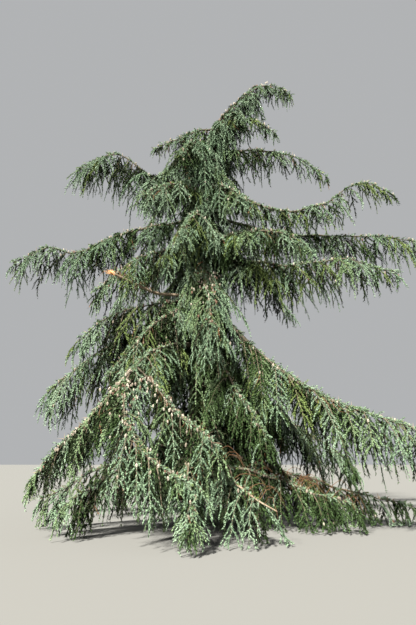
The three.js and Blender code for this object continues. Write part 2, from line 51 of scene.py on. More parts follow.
BOUGHS = {
    "top_left": dict(az=178, z=12.55, reach=2.05, swing=-8, h=[-0.06, -0.20, -0.36, -0.50], r=0.030),
    "top_right": dict(az=-28, z=12.60, reach=2.15, swing=10, h=[0.10, 0.06, -0.15, -0.62], r=0.030),
    "top_front": dict(az=-128, z=11.90, reach=1.85, swing=12, h=[-0.12, -0.62, -1.45], r=0.032),
    "top_back": dict(az=66, z=12.00, reach=2.20, swing=-10, h=[0.00, -0.28, -0.95], r=0.034),
    "right_1": dict(az=0, z=11.75, reach=4.10, swing=4, h=[0.00, -0.02, 0.00, -0.28, -0.83], r=0.042),
    "right_2": dict(az=-5, z=10.70, reach=6.20, swing=3, h=[-0.41, -0.84, -1.24, -1.32, -1.04, -0.50, -0.36, -0.74], r=0.055),
    "right_3": dict(az=13, z=9.40, reach=7.65, swing=-8, h=[-0.22, -0.44, -0.50, -0.48, -0.52, -0.90], r=0.062),
    "right_4": dict(az=-52, z=8.30, reach=3.90, swing=12, h=[-0.10, -0.15, -0.22, -0.55, -1.20], r=0.055),
    "right_5": dict(az=-16, z=7.80, reach=5.90, swing=3, h=[-0.20, -0.38, -0.44, -0.50, -0.90], r=0.065),
    "right_6": dict(az=-33, z=6.45, reach=7.00, swing=6, h=[-1.02, -2.20, -3.02, -3.62, -4.04, -4.50], r=0.085),
    "right_low": dict(az=-12, z=1.75, reach=5.90, swing=4, h=[-0.02, -0.33, -0.70, -0.98, -1.30], r=0.075),
    "left_2": dict(az=171, z=11.90, reach=4.35, swing=6, h=[-0.36, -0.78, -1.02, -0.46, -0.18, -0.36, -0.72], r=0.050),
    "left_3": dict(az=186, z=9.35, reach=5.85, swing=-4, h=[-0.35, -0.54, -0.98, -1.34, -1.30, -1.75], r=0.060),
    "left_broken": dict(az=212, z=6.60, reach=3.00, swing=4, h=[-0.12, -0.17, -0.06, 0.06], r=0.065),
    "left_under": dict(az=207, z=6.40, reach=3.55, swing=-6, h=[-0.12, -0.35, -0.72, -1.45], r=0.040),
    "left_5": dict(az=184, z=5.70, reach=4.30, swing=4, h=[-0.12, -0.50, -1.15, -2.20], r=0.080),
    "left_low": dict(az=196, z=2.10, reach=4.10, swing=6, h=[-0.10, -0.40, -0.85, -1.35], r=0.065),
    "front_1": dict(az=-58, z=10.20, reach=2.30, swing=8, h=[-0.15, -0.60, -1.40], r=0.040),
    "front_2": dict(az=-122, z=10.10, reach=2.60, swing=-10, h=[-0.05, -0.40, -1.15], r=0.042),
    "front_3": dict(az=-146, z=8.00, reach=3.30, swing=-8, h=[-0.05, -0.35, -0.90, -1.75], r=0.050),
    "front_mid": dict(az=-97, z=9.35, reach=2.35, swing=-4, h=[-0.22, -0.80, -1.70], r=0.045),
    "front_4": dict(az=-80, z=7.62, reach=2.50, swing=-2, h=[-0.30, -0.95, -1.75, -2.80], r=0.050),
    "front_5": dict(az=-134, z=6.10, reach=3.10, swing=-6, h=[-0.12, -0.60, -1.40, -2.40], r=0.055),
    "front_6": dict(az=-60, z=5.20, reach=3.00, swing=4, h=[-0.45, -1.20, -2.10, -3.00], r=0.055),
    "front_left": dict(az=-122, z=4.95, reach=3.45, swing=4, h=[-0.06, -0.28, -0.72, -1.30], r=0.095),
    "ridge_left": dict(on="front_left", at=0.97, az=180, reach=2.05, swing=10, h=[-0.62, -1.24, -1.76, -2.45], r=0.028),
    "ridge_front": dict(on="front_left", at=0.97, az=-112, reach=2.35, swing=60, h=[-0.72, -1.48, -2.02, -2.48], r=0.028),
    "ridge_right": dict(on="front_left", at=0.90, az=-22, reach=2.45, swing=-14, h=[-0.60, -1.20, -1.54, -2.02], r=0.028),
    "front_low": dict(az=-93, z=2.30, reach=5.40, swing=3, h=[-0.05, -0.25, -0.60, -1.05, -1.75], r=0.075),
    "front_low_2": dict(az=-96, z=2.60, reach=4.95, swing=26, h=[-0.16, -0.48, -0.95, -1.50, -1.93], r=0.075),
    "front_low_3": dict(az=-36, z=1.60, reach=4.60, swing=4, h=[-0.08, -0.35, -0.66, -1.00], r=0.065),
    "front_low_4": dict(az=-124, z=2.20, reach=4.40, swing=-4, h=[-0.08, -0.40, -0.90, -1.50], r=0.065),
    "back_1": dict(az=122, z=11.10, reach=3.20, swing=8, h=[0.05, 0.08, -0.25, -0.95], r=0.045),
    "back_2": dict(az=84, z=9.90, reach=4.10, swing=-6, h=[-0.20, -0.42, -0.35, -0.55, -1.20], r=0.055),
    "back_3": dict(az=44, z=8.60, reach=5.10, swing=5, h=[-0.12, -0.22, -0.40, -0.85, -1.60], r=0.065),
    "back_4": dict(az=139, z=8.40, reach=5.00, swing=-6, h=[-0.12, -0.30, -0.42, -0.75, -1.50], r=0.065),
    "back_5": dict(az=100, z=6.90, reach=5.30, swing=6, h=[-0.35, -0.95, -1.60, -2.30, -3.20], r=0.080),
    "back_6": dict(az=60, z=5.80, reach=5.80, swing=-5, h=[-0.40, -1.10, -1.90, -2.60, -3.40], r=0.085),
    "back_7": dict(az=156, z=5.40, reach=5.20, swing=-4, h=[-0.30, -0.90, -1.65, -2.50, -3.45], r=0.080),
    "back_8": dict(az=22, z=4.30, reach=5.90, swing=4, h=[-0.30, -0.90, -1.60, -2.25, -3.00], r=0.080),
    "back_9": dict(az=116, z=3.10, reach=5.20, swing=5, h=[-0.15, -0.55, -1.05, -1.60, -2.25], r=0.075),
    "back_10": dict(az=74, z=2.50, reach=4.90, swing=-4, h=[-0.12, -0.45, -0.95, -1.55], r=0.065),
}

# name, bough, from, to, half width, hang at the two ends, share of olive sprays, density,
# feather: 0 for level side branches with long curtains, 1 for steep ones with short sprays
MASSES = [
    ("leader", "leader", 0.02, 1.0, 0.52, 1.30, 0.55, 0.20, 1.60, 0.30),
    ("right_1", "right_1", 0.07, 1.0, 0.70, 1.45, 0.50, 0.20, 1.05, 0.10),
    ("right_2_inner", "right_2", 0.12, 0.58, 0.80, 1.25, 1.20, 0.25, 1.05, 0.15),
    ("right_2_outer", "right_2", 0.57, 1.0, 0.66, 1.30, 0.50, 0.25, 1.00, 0.10),
    ("left_2", "left_2", 0.12, 1.0, 0.80, 2.70, 2.30, 0.10, 1.30, 0.15),
    ("right_3_inner", "right_3", 0.13, 0.60, 0.86, 1.50, 1.50, 0.18, 1.05, 0.15),
    ("right_3_outer", "right_3", 0.59, 1.0, 0.84, 1.75, 1.25, 0.18, 1.05, 0.15),
    ("left_3_inner", "left_3", 0.12, 0.66, 0.90, 2.00, 1.80, 0.12, 1.30, 0.35),
    ("left_3_outer", "left_3", 0.65, 1.0, 0.80, 1.80, 1.40, 0.05, 1.05, 0.35),
    ("top_left", "top_left", 0.06, 1.0, 0.42, 0.85, 0.30, 0.20, 1.15, 0.20),
    ("top_right", "top_right", 0.10, 1.0, 0.42, 0.75, 0.35, 0.25, 1.15, 0.20),
    ("top_front", "top_front", 0.06, 1.0, 0.90, 1.60, 1.00, 0.25, 1.35, 0.50),
    ("top_back", "top_back", 0.06, 1.0, 0.80, 1.35, 0.80, 0.20, 1.00, 0.30),
    ("back_1", "back_1", 0.10, 1.0, 0.85, 1.40, 0.70, 0.20, 0.90, 0.30),
    ("front_1", "front_1", 0.10, 1.0, 0.95, 1.65, 1.05, 0.30, 1.35, 0.55),
    ("front_2", "front_2", 0.10, 1.0, 0.95, 1.70, 1.10, 0.25, 1.35, 0.55),
    ("back_2", "back_2", 0.07, 1.0, 0.95, 1.60, 0.95, 0.20, 0.92, 0.35),
    ("right_4", "right_4", 0.07, 1.0, 1.00, 1.70, 1.20, 0.22, 1.25, 0.55),
    ("right_5", "right_5", 0.11, 1.0, 0.92, 2.35, 1.35, 0.22, 1.10, 0.30),
    ("front_mid", "front_mid", 0.08, 1.0, 1.00, 1.75, 1.20, 0.20, 1.45, 0.60),
    ("front_3", "front_3", 0.12, 1.0, 0.98, 1.60, 1.20, 0.20, 1.25, 0.70),
    ("front_4", "front_4", 0.12, 1.0, 1.50, 1.70, 1.60, 0.08, 1.60, 0.80),
    ("back_3", "back_3", 0.07, 1.0, 1.05, 1.75, 1.10, 0.20, 0.92, 0.40),
    ("back_4", "back_4", 0.07, 1.0, 1.05, 1.75, 1.10, 0.20, 0.92, 0.40),
    ("left_broken", "left_under", 0.14, 1.0, 1.00, 2.10, 1.90, 0.10, 1.35, 0.65),
    ("front_5", "front_5", 0.07, 1.0, 1.00, 1.90, 1.50, 0.26, 1.30, 0.80),
    ("front_6", "front_6", 0.08, 1.0, 1.15, 1.80, 1.30, 0.08, 1.30, 0.75),
    ("right_6_inner", "right_6", 0.15, 0.58, 1.15, 2.60, 2.50, 0.18, 1.60, 0.75),
    ("right_6_outer", "right_6", 0.57, 1.0, 1.05, 2.30, 1.30, 0.18, 1.20, 0.65),
    ("left_5", "left_5", 0.18, 1.0, 1.08, 2.70, 2.10, 0.08, 1.40, 0.80),
    ("back_5", "back_5", 0.07, 1.0, 1.15, 1.95, 1.50, 0.20, 0.92, 0.60),
    ("back_6", "back_6", 0.07, 1.0, 1.20, 1.90, 1.60, 0.20, 0.92, 0.60),
    ("back_7", "back_7", 0.07, 1.0, 1.15, 2.70, 2.20, 0.20, 0.90, 0.60),
    ("back_8", "back_8", 0.07, 1.0, 1.15, 3.00, 1.60, 0.20, 1.10, 0.55),
    ("back_9", "back_9", 0.07, 1.0, 1.15, 1.10, 0.85, 0.20, 0.92, 0.70),
    ("back_10", "back_10", 0.07, 1.0, 1.15, 2.00, 1.20, 0.15, 0.92, 0.70),
    ("ridge_left", "ridge_left", 0.00, 1.0, 0.95, 2.10, 0.95, 0.05, 1.50, 0.95),
    ("ridge_front", "ridge_front", 0.10, 1.0, 0.95, 1.80, 0.95, 0.05, 1.50, 0.95),
    ("ridge_right", "ridge_right", 0.14, 1.0, 0.95, 1.80, 0.95, 0.10, 1.50, 0.95),
    ("front_left", "front_left", 0.22, 0.95, 0.85, 1.90, 1.40, 0.15, 1.50, 0.75),
    ("front_low", "front_low", 0.08, 1.0, 1.05, 2.10, 1.00, 0.06, 1.25, 0.85),
    ("front_low_2", "front_low_2", 0.16, 0.93, 0.98, 2.30, 1.00, 0.10, 1.25, 0.85),
    ("front_low_3", "front_low_3", 0.08, 1.0, 0.98, 2.00, 1.10, 0.20, 1.10, 0.80),
    ("front_low_4", "front_low_4", 0.08, 1.0, 0.98, 2.10, 1.50, 0.06, 1.30, 0.85),
    ("right_low", "right_low", 0.18, 1.0, 0.98, 2.00, 1.00, 0.12, 1.10, 0.70),
    ("left_low", "left_low", 0.20, 1.0, 1.00, 2.00, 1.30, 0.08, 1.15, 0.80),
]

# share of the side branches dealt the deep tint as painted shade, for masses in shadow low down at the right
SHADED = {"right_low": 0.50, "front_low_3": 0.75, "front_6": 0.70, "right_6_inner": 0.12, "right_6_outer": 0.10, "back_8": 0.35, "back_7": 0.25}

SPACING = 0.165        # between side branches along a limb
STRAND_STEP = 0.130    # between hanging sprays along a side branch
NEEDLES_PER_M = 80
NEEDLE_LEN = 0.062
NEEDLE_W = 0.0255

rng = np.random.RandomState(20611)


# ------------------------------------------------------------------ curves
def smooth(values, t):
    v = np.asarray(values, float)
    n = len(v) - 1
    f = np.clip(np.asarray(t, float), 0, 1) * n
    i = np.minimum(f.astype(int), n - 1)
    u = f - i
    p1, p2 = v[i], v[i + 1]
    p0 = np.where(i > 0, v[np.maximum(i - 1, 0)], 2 * p1 - p2)
    p3 = np.where(i + 2 <= n, v[np.minimum(i + 2, n)], 2 * p2 - p1)
    return 0.5 * (2 * p1 + (p2 - p0) * u + (2 * p0 - 5 * p1 + 4 * p2 - p3) * u * u + (3 * p1 - p0 - 3 * p2 + p3) * u ** 3)


def stem_at(z):
    z = np.asarray(z, float)
    return np.stack([np.interp(z, STEM[:, 0], STEM[:, 1]), np.interp(z, STEM[:, 0], STEM[:, 2]), z], -1)


def unit(v):
    return v / np.maximum(np.linalg.norm(v, axis=-1, keepdims=True), 1e-9)


def crest(name, s):
    s = np.asarray(s, float)
    if name == "leader":
        return np.stack([0.80 + 2.50 * s, np.full_like(s, -0.03), smooth([12.96, 13.52, 14.04, 14.34, 14.31, 13.98], s)], -1)
    b = BOUGHS[name]
    start = crest(b["on"], b["at"]) if "on" in b else stem_at(b["z"])
    az = np.radians(b["az"] + b["swing"] * s)
    r = b["reach"] * s
    return np.stack([start[0] + r * np.cos(az), start[1] + r * np.sin(az), start[2] + smooth([0] + b["h"], s)], -1)


WIG = {name: (rng.uniform(0, 6.28, 4), rng.uniform(0.6, 1.4, 4)) for name in list(BOUGHS) + ["leader"]}


def limb(name, s):
    """The crest line with the small kinks of a real limb."""
    s = np.asarray(s, float)
    p = crest(name, s)
    d = crest(name, np.minimum(s + 0.01, 1)) - crest(name, np.maximum(s - 0.01, 0))
    d[..., 2] = 0
    d = unit(d)
    side = np.stack([-d[..., 1], d[..., 0], np.zeros_like(s)], -1)
    ph, am = WIG[name]
    reach = 2.6 if name == "leader" else BOUGHS[name]["reach"]
    k = 0.012 * min(reach, 5) * np.clip(s * 6, 0, 1)
    w = am[0] * np.sin(reach * 2.1 * s + ph[0]) + 0.6 * am[1] * np.sin(reach * 4.3 * s + ph[1])
    h = am[2] * np.sin(reach * 2.7 * s + ph[2]) + 0.5 * am[3] * np.sin(reach * 5.6 * s + ph[3])
    p = p + side * (k * w)[..., None]
    p[..., 2] += 0.55 * k * h
    return p


def limb_frame(name, s):
    s = np.asarray(s, float)
    d = crest(name, np.minimum(s + 0.02, 1)) - crest(name, np.maximum(s - 0.02, 0))
    flat = d.copy()
    flat[..., 2] = 0
    flat = unit(flat)
    side = np.stack([-flat[..., 1], flat[..., 0], np.zeros_like(s)], -1)
    return unit(d), flat, side


# ------------------------------------------------------------------ noise
def lattice(seed, nu, nv):
    return np.random.RandomState(seed).rand(nu, nv)


def noise2(u, v, seed, nu=64, nv=64):
    """Smooth value noise, periodic in u with period nu."""
    g = lattice(seed, nu, nv)
    iu, iv = np.floor(u).astype(int), np.floor(v).astype(int)
    fu, fv = u - iu, v - iv
    fu, fv = fu * fu * (3 - 2 * fu), fv * fv * (3 - 2 * fv)
    a, b = g[iu % nu, iv % nv], g[(iu + 1) % nu, iv % nv]
    c, d = g[iu % nu, (iv + 1) % nv], g[(iu + 1) % nu, (iv + 1) % nv]
    return (a * (1 - fu) + b * fu) * (1 - fv) + (c * (1 - fu) + d * fu) * fv


# ------------------------------------------------------------------ meshes from arrays
def mesh_object(name, co, tris, mats, slot_index=None, smooth_shade=False):
    me = bpy.data.meshes.new(name)
    n, m = len(co), len(tris)
    me.vertices.add(n)
    me.vertices.foreach_set("co", np.ascontiguousarray(co, dtype=np.float32).ravel())
    me.loops.add(m * 3)
    me.loops.foreach_set("vertex_index", np.ascontiguousarray(tris, dtype=np.int32).ravel())
    me.polygons.add(m)
    me.polygons.foreach_set("loop_start", np.arange(0, m * 3, 3, dtype=np.int32))
    me.polygons.foreach_set("loop_total", np.full(m, 3, dtype=np.int32))
    for mat in mats:
        me.materials.append(mat)
    if slot_index is not None:
        me.polygons.foreach_set("material_index", np.ascontiguousarray(slot_index, dtype=np.int32))
    me.polygons.foreach_set("use_smooth", np.full(m, smooth_shade, dtype=bool))
    me.update(calc_edges=True)
    o = bpy.data.objects.new(name, me)
    bpy.context.scene.collection.objects.link(o)
    return o


def tubes(P, R, sides, close_tip=True, close_base=False, twist=0.0):
    """P (N,K,3) centre lines, R (N,K) radii. Returns co, tris."""
    N, K, _ = P.shape
    T = np.empty_like(P)
    T[:, 1:-1] = P[:, 2:] - P[:, :-2]
    T[:, 0] = P[:, 1] - P[:, 0]
    T[:, -1] = P[:, -1] - P[:, -2]
    T = unit(T)
    ref = np.where(np.abs(T[:, :1, 2:3]) < 0.8, np.array([0, 0, 1.0]), np.array([1.0, 0, 0]))
    U = unit(np.cross(T, np.broadcast_to(ref, T.shape)))
    V = np.cross(T, U)
    a = np.arange(sides) * 2 * np.pi / sides + twist
    ring = P[:, :, None, :] + R[:, :, None, None] * (U[:, :, None, :] * np.cos(a)[None, None, :, None] + V[:, :, None, :] * np.sin(a)[None, None, :, None])
    co = ring.reshape(-1, 3)
    base = (np.arange(N) * K * sides)[:, None, None]
    k = (np.arange(K - 1) * sides)[None, :, None]
    j = np.arange(sides)[None, None, :]
    jn = (j + 1) % sides
    A, B = base + k + j, base + k + jn
    C, D = A + sides, B + sides
    tris = np.concatenate([np.stack([A, B, D], -1).reshape(-1, 3), np.stack([A, D, C], -1).reshape(-1, 3)])
    # U, V, T is left-handed in this order where V = T x U, so the winding below faces out
    out = [tris]
    if close_tip:
        tip = np.arange(N) * K * sides + (K - 1) * sides
        for q in range(1, sides - 1):
            out.append(np.stack([tip, tip + q, tip + q + 1], -1))
    if close_base:
        b0 = np.arange(N) * K * sides
        for q in range(1, sides - 1):
            out.append(np.stack([b0, b0 + q + 1, b0 + q], -1))
    return co, np.concatenate(out)


# ------------------------------------------------------------------ materials
ALBEDO = 0.55          # the colours below are written bright; the surfaces reflect this part of them


def srgb(r, g, b):
    c = np.array([r, g, b]) / 255.0
    return [ALBEDO * float(x / 12.92 if x <= 0.04045 else ((x + 0.055) / 1.055) ** 2.4) for x in c] + [1.0]


def plain(name, rgb, rough=0.62, spec=0.28, sheen=0.0):
    m = bpy.data.materials.new(name)
    m.use_nodes = True
    b = m.node_tree.nodes["Principled BSDF"]
    b.inputs["Base Color"].default_value = srgb(*rgb)
    b.inputs["Roughness"].default_value = rough
    b.inputs["Specular IOR Level"].default_value = spec
    m.diffuse_color = srgb(*rgb)
    return m


def bark_material(name, dark, mid, light, scale, moss=0.0):
    m = bpy.data.materials.new(name)
    m.use_nodes = True
    nt = m.node_tree
    b = nt.nodes["Principled BSDF"]
    tc = nt.nodes.new("ShaderNodeTexCoord")
    mp = nt.nodes.new("ShaderNodeMapping")
    mp.inputs["Scale"].default_value = (1.0, 1.0, 0.32)
    nt.links.new(tc.outputs["Object"], mp.inputs["Vector"])
    n1 = nt.nodes.new("ShaderNodeTexNoise")
    n1.inputs["Scale"].default_value = scale
    n1.inputs["Detail"].default_value = 9
    n1.inputs["Roughness"].default_value = 0.68
    nt.links.new(mp.outputs["Vector"], n1.inputs["Vector"])
    v = nt.nodes.new("ShaderNodeTexVoronoi")
    v.feature = "DISTANCE_TO_EDGE"
    v.inputs["Scale"].default_value = scale * 1.5
    nt.links.new(mp.outputs["Vector"], v.inputs["Vector"])
    ramp = nt.nodes.new("ShaderNodeValToRGB")
    ramp.color_ramp.elements[0].position = 0.30
    ramp.color_ramp.elements[0].color = srgb(*dark)
    ramp.color_ramp.elements[1].position = 0.72
    ramp.color_ramp.elements[1].color = srgb(*light)
    e = ramp.color_ramp.elements.new(0.50)
    e.color = srgb(*mid)
    nt.links.new(n1.outputs["Fac"], ramp.inputs["Fac"])
    crack = nt.nodes.new("ShaderNodeValToRGB")
    crack.color_ramp.elements[0].position = 0.0
    crack.color_ramp.elements[0].color = (0.32, 0.30, 0.28, 1)
    crack.color_ramp.elements[1].position = 0.12
    crack.color_ramp.elements[1].color = (1, 1, 1, 1)
    nt.links.new(v.outputs["Distance"], crack.inputs["Fac"])
    mix = nt.nodes.new("ShaderNodeMix")
    mix.data_type = "RGBA"
    mix.blend_type = "MULTIPLY"
    mix.inputs["Factor"].default_value = 0.85
    nt.links.new(ramp.outputs["Color"], mix.inputs["A"])
    nt.links.new(crack.outputs["Color"], mix.inputs["B"])
    nt.links.new(mix.outputs["Result"], b.inputs["Base Color"])
    rr = nt.nodes.new("ShaderNodeMapRange")
    rr.inputs["To Min"].default_value = 0.95
    rr.inputs["To Max"].default_value = 0.72
    nt.links.new(n1.outputs["Fac"], rr.inputs["Value"])
    nt.links.new(rr.outputs["Result"], b.inputs["Roughness"])
    bump = nt.nodes.new("ShaderNodeBump")
    bump.inputs["Strength"].default_value = 0.55
    bump.inputs["Distance"].default_value = 0.012
    n2 = nt.nodes.new("ShaderNodeTexNoise")
    n2.inputs["Scale"].default_value = scale * 4
    n2.inputs["Detail"].default_value = 6
    nt.links.new(mp.outputs["Vector"], n2.inputs["Vector"])
    nt.links.new(n2.outputs["Fac"], bump.inputs["Height"])
    nt.links.new(bump.outputs["Normal"], b.inputs["Normal"])
    b.inputs["Specular IOR Level"].default_value = 0.2
    return m


M_TRUNK = bark_material("bark_trunk", (62, 54, 47), (112, 101, 90), (160, 148, 134), 9.0)
M_BOUGH = bark_material("bark_bough", (66, 60, 48), (104, 96, 80), (146, 136, 118), 16.0)
M_BARE = bark_material("bark_bare", (116, 100, 84), (162, 144, 122), (198, 182, 160), 16.0)
M_TWIG = plain("twig_bark", (116, 104, 88), 0.85, 0.15)
# dark green for shoot cores: painted shade inside the sprays
M_SHOOT = plain("shoot_green", (60, 74, 46), 0.80, 0.15)
M_DEAD = plain("twig_dead", (124, 92, 66), 0.85, 0.1)
M_TWIG_PALE = plain("twig_bark_pale", (168, 148, 122), 0.85, 0.15)
M_BREAK = plain("broken_wood", (226, 158, 92), 0.7, 0.2)
M_BREAK_PALE = plain("broken_wood_pale", (236, 190, 140), 0.7, 0.2)
M_CONE = plain("cone_tan", (160, 148, 132), 0.75, 0.15)
M_CONE_RED = plain("cone_brown", (128, 100, 84), 0.75, 0.15)
M_CONE_PALE = plain("cone_pale", (188, 180, 164), 0.75, 0.15)
# needle tints, dealt out by spray
TINTS = [
    plain("needles_glaucous", (149, 173, 144), 0.70, 0.08),
    plain("needles_blue_green", (138, 164, 133), 0.70, 0.08),
    plain("needles_grey_green", (134, 158, 116), 0.70, 0.08),
    plain("needles_olive", (124, 144, 84), 0.68, 0.12),
    plain("needles_deep", (66, 88, 50), 0.70, 0.10),
    plain("needles_dead", (142, 108, 74), 0.75, 0.10),
    # painted shade: the darkest tint, for sprays deep inside the crown
    plain("needles_shade", (38, 49, 27), 0.75, 0.08),
]

# shoot cores in darker copies of each needle tint: painted shade inside each spray
SHOOTS = [plain("shoot_" + m_.name[8:], tuple(int(255 * f_) for f_ in rgb_), 0.80, 0.15) for m_, rgb_ in zip(TINTS, [
    (0.42, 0.50, 0.40), (0.36, 0.45, 0.35), (0.34, 0.42, 0.28), (0.34, 0.40, 0.22), (0.20, 0.26, 0.15), (0.44, 0.33, 0.23), (0.11, 0.14, 0.08)])]

# ------------------------------------------------------------------ trunk with bark relief
SIDES = 56
zs = np.concatenate([np.arange(0, 0.8, 0.02), np.arange(0.8, 4.2, 0.03), np.arange(4.2, 10.0, 0.055), np.arange(10.0, 13.0, 0.06), np.arange(13.0, 14.36, 0.06), [14.36]])
th = np.arange(SIDES) * 2 * np.pi / SIDES
Z, TH = np.meshgrid(zs, th, indexing="ij")
r0 = np.interp(Z, STEM[:, 0], STEM_R)
flare = FLARE_R * np.exp(-Z / (FLARE_H * 0.38)) * (1 + 0.45 * np.cos(FLARE_LOBES * TH + 0.7))
r = r0 * (1 + 0.03 * np.sin(3 * TH + Z)) + flare
u = TH / (2 * np.pi)
# long upright ridges broken into plates, with fine flakes on them
warp = noise2(u * 12, Z * 1.5, 3, 12, 64) * 1.6
n_ridge = 22
ridge = noise2((u * n_ridge + warp) % n_ridge, Z * 2.2, 5, n_ridge, 97)
fiss = np.abs(2 * ridge - 1)
plates = noise2((u * n_ridge + warp) % n_ridge, Z * 9.0 + ridge * 2, 9, n_ridge, 193)
fine = noise2(u * 60, Z * 26, 11, 60, 401)
relief = 0.020 * (np.minimum(fiss * 2.2, 1.0) - 0.7) + 0.010 * (plates - 0.5) + 0.006 * (fine - 0.5)
r = r + relief * np.clip(r0 / 0.20, 0.15, 1.25)
cen = stem_at(zs)
up = unit(stem_at(np.minimum(zs + 0.05, 14.36)) - stem_at(np.maximum(zs - 0.05, 0)))
up[zs < 1] = [0, 0, 1]
across = unit(np.cross(np.array([0, 1.0, 0]), up))
co = cen[:, None, :] + r[..., None] * (across[:, None, :] * np.cos(TH)[..., None] + np.array([0, 1.0, 0]) * np.sin(TH)[..., None])
co[0, :, 2] = 0.0
nz = len(zs)
A = (np.arange(nz - 1) * SIDES)[:, None] + np.arange(SIDES)[None, :]
B = (np.arange(nz - 1) * SIDES)[:, None] + (np.arange(SIDES)[None, :] + 1) % SIDES
C, D = A + SIDES, B + SIDES
tris = np.concatenate([np.stack([A, B, D], -1).reshape(-1, 3), np.stack([A, D, C], -1).reshape(-1, 3)])
cap0 = np.stack([np.zeros(SIDES - 2, int), np.arange(2, SIDES), np.arange(1, SIDES - 1)], -1)
top = (nz - 1) * SIDES
cap1 = np.stack([np.full(SIDES - 2, top), top + np.arange(1, SIDES - 1), top + np.arange(2, SIDES)], -1)
trunk = mesh_object("trunk_bark", co.reshape(-1, 3), np.concatenate([tris, cap0, cap1]), [M_TRUNK], smooth_shade=True)
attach(trunk, "root")
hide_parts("trunk")

# ------------------------------------------------------------------ boughs with bark relief
def bough_tube(name, s0, s1, r_a, r_b, sides=8, seed=0, collar=True, power=0.8, step=0.12):
    b = BOUGHS[name]
    length = np.linalg.norm(crest(name, s1) - crest(name, s0)) + 1e-6
    k = max(6, int(length * 1.08 / step))
    s = s0 + (s1 - s0) * np.linspace(0, 1, k)
    P = limb(name, s)
    f = np.linspace(0, 1, k)
    R = r_a + (r_b - r_a) * f ** power
    if collar:
        R = R + b["r"] * 0.45 * np.exp(-(s * b["reach"]) / 0.22)
    T = np.gradient(P, axis=0)
    T = unit(T)
    side = unit(np.stack([-T[:, 1], T[:, 0], np.zeros(k)], -1))
    over = np.cross(side, T)
    a = np.arange(sides) * 2 * np.pi / sides
    uu = np.broadcast_to(a / (2 * np.pi) * 9, (k, sides))
    vv = np.broadcast_to((s * b["reach"] * 7)[:, None], (k, sides))
    rel = 1 + 0.16 * (noise2(uu, vv, seed + 31, 9, 211) - 0.5) + 0.12 * (noise2(uu, vv * 3.1, seed + 57, 9, 401) - 0.5)
    knot = 1 + 0.14 * np.maximum(0, np.sin(s * b["reach"] * 5.2 + seed))[:, None] ** 6
    RR = R[:, None] * rel * knot
    ring = P[:, None, :] + RR[..., None] * (side[:, None, :] * np.cos(a)[None, :, None] + over[:, None, :] * np.sin(a)[None, :, None])
    A = (np.arange(k - 1) * sides)[:, None] + np.arange(sides)[None, :]
    B = (np.arange(k - 1) * sides)[:, None] + (np.arange(sides)[None, :] + 1) % sides
    C, D = A + sides, B + sides
    t = np.concatenate([np.stack([A, B, D], -1).reshape(-1, 3), np.stack([A, D, C], -1).reshape(-1, 3)])
    q = np.arange(1, sides - 1)
    base = np.stack([np.zeros_like(q), q + 1, q], -1)
    tp = (k - 1) * sides
    tip = np.stack([np.full_like(q, tp), tp + q, tp + q + 1], -1)
    return ring.reshape(-1, 3), np.concatenate([t, base, tip])


def join(parts):
    cos, ts, mi, n = [], [], [], 0
    for p in parts:
        co_, t_ = p[0], p[1]
        cos.append(co_)
        ts.append(t_ + n)
        mi.append(np.broadcast_to(np.asarray(p[2] if len(p) > 2 else 0), (len(t_),)))
        n += len(co_)
    return np.concatenate(cos), np.concatenate(ts), np.concatenate(mi)


parts = []
for i, (name, b) in enumerate(BOUGHS.items()):
    s_start = 0.0
    if name == "front_low_2":
        parts.append((*bough_tube(name, 0.0, 1.0, b["r"], 0.013, 8, i, power=0.8), 3))
    elif name == "left_broken":
        parts.append((*bough_tube(name, 0.0, 1.0, b["r"] * 0.8, 0.034, 12, i, power=1.0), 3))
    else:
        parts.append(bough_tube(name, s_start, 0.985, b["r"], 0.007, 8, i, collar="on" not in b, power=0.72))
# splinters on the snapped end
end_p = limb("left_broken", np.array([0.985]))[0]
end_d = unit(limb("left_broken", np.array([1.0]))[0] - limb("left_broken", np.array([0.93]))[0])
sp_rng = np.random.RandomState(77)
for k_ in range(26):
    off = sp_rng.normal(0, 1, 3)
    off = unit(off - end_d * (off @ end_d)) * sp_rng.uniform(0.0, 0.042)
    a0 = end_p + off - end_d * 0.03
    dirn = unit(end_d + sp_rng.normal(0, 0.20, 3) + np.array([0, 0, 0.15]))
    ln = sp_rng.uniform(0.10, 0.34)
    uu_ = unit(np.cross(dirn, np.array([0.3, 0.9, 0.2])))
    vv_ = np.cross(dirn, uu_)
    rr_ = sp_rng.uniform(0.010, 0.020)
    pts_ = [a0 + (uu_ * np.cos(q) + vv_ * np.sin(q)) * rr_ for q in (0, 2.09, 4.19)] + [a0 + dirn * ln]
    parts.append((np.array(pts_), np.array([[0, 1, 3], [1, 2, 3], [2, 0, 3]]), 1 if k_ % 3 else 2))
co, tris, mi = join(parts)
boughs = mesh_object("boughs_bark", co, tris, [M_BOUGH, M_BREAK, M_BREAK_PALE, M_BARE], mi, smooth_shade=True)
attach(boughs, "root")
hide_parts(*[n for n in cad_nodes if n.startswith("bough_")])

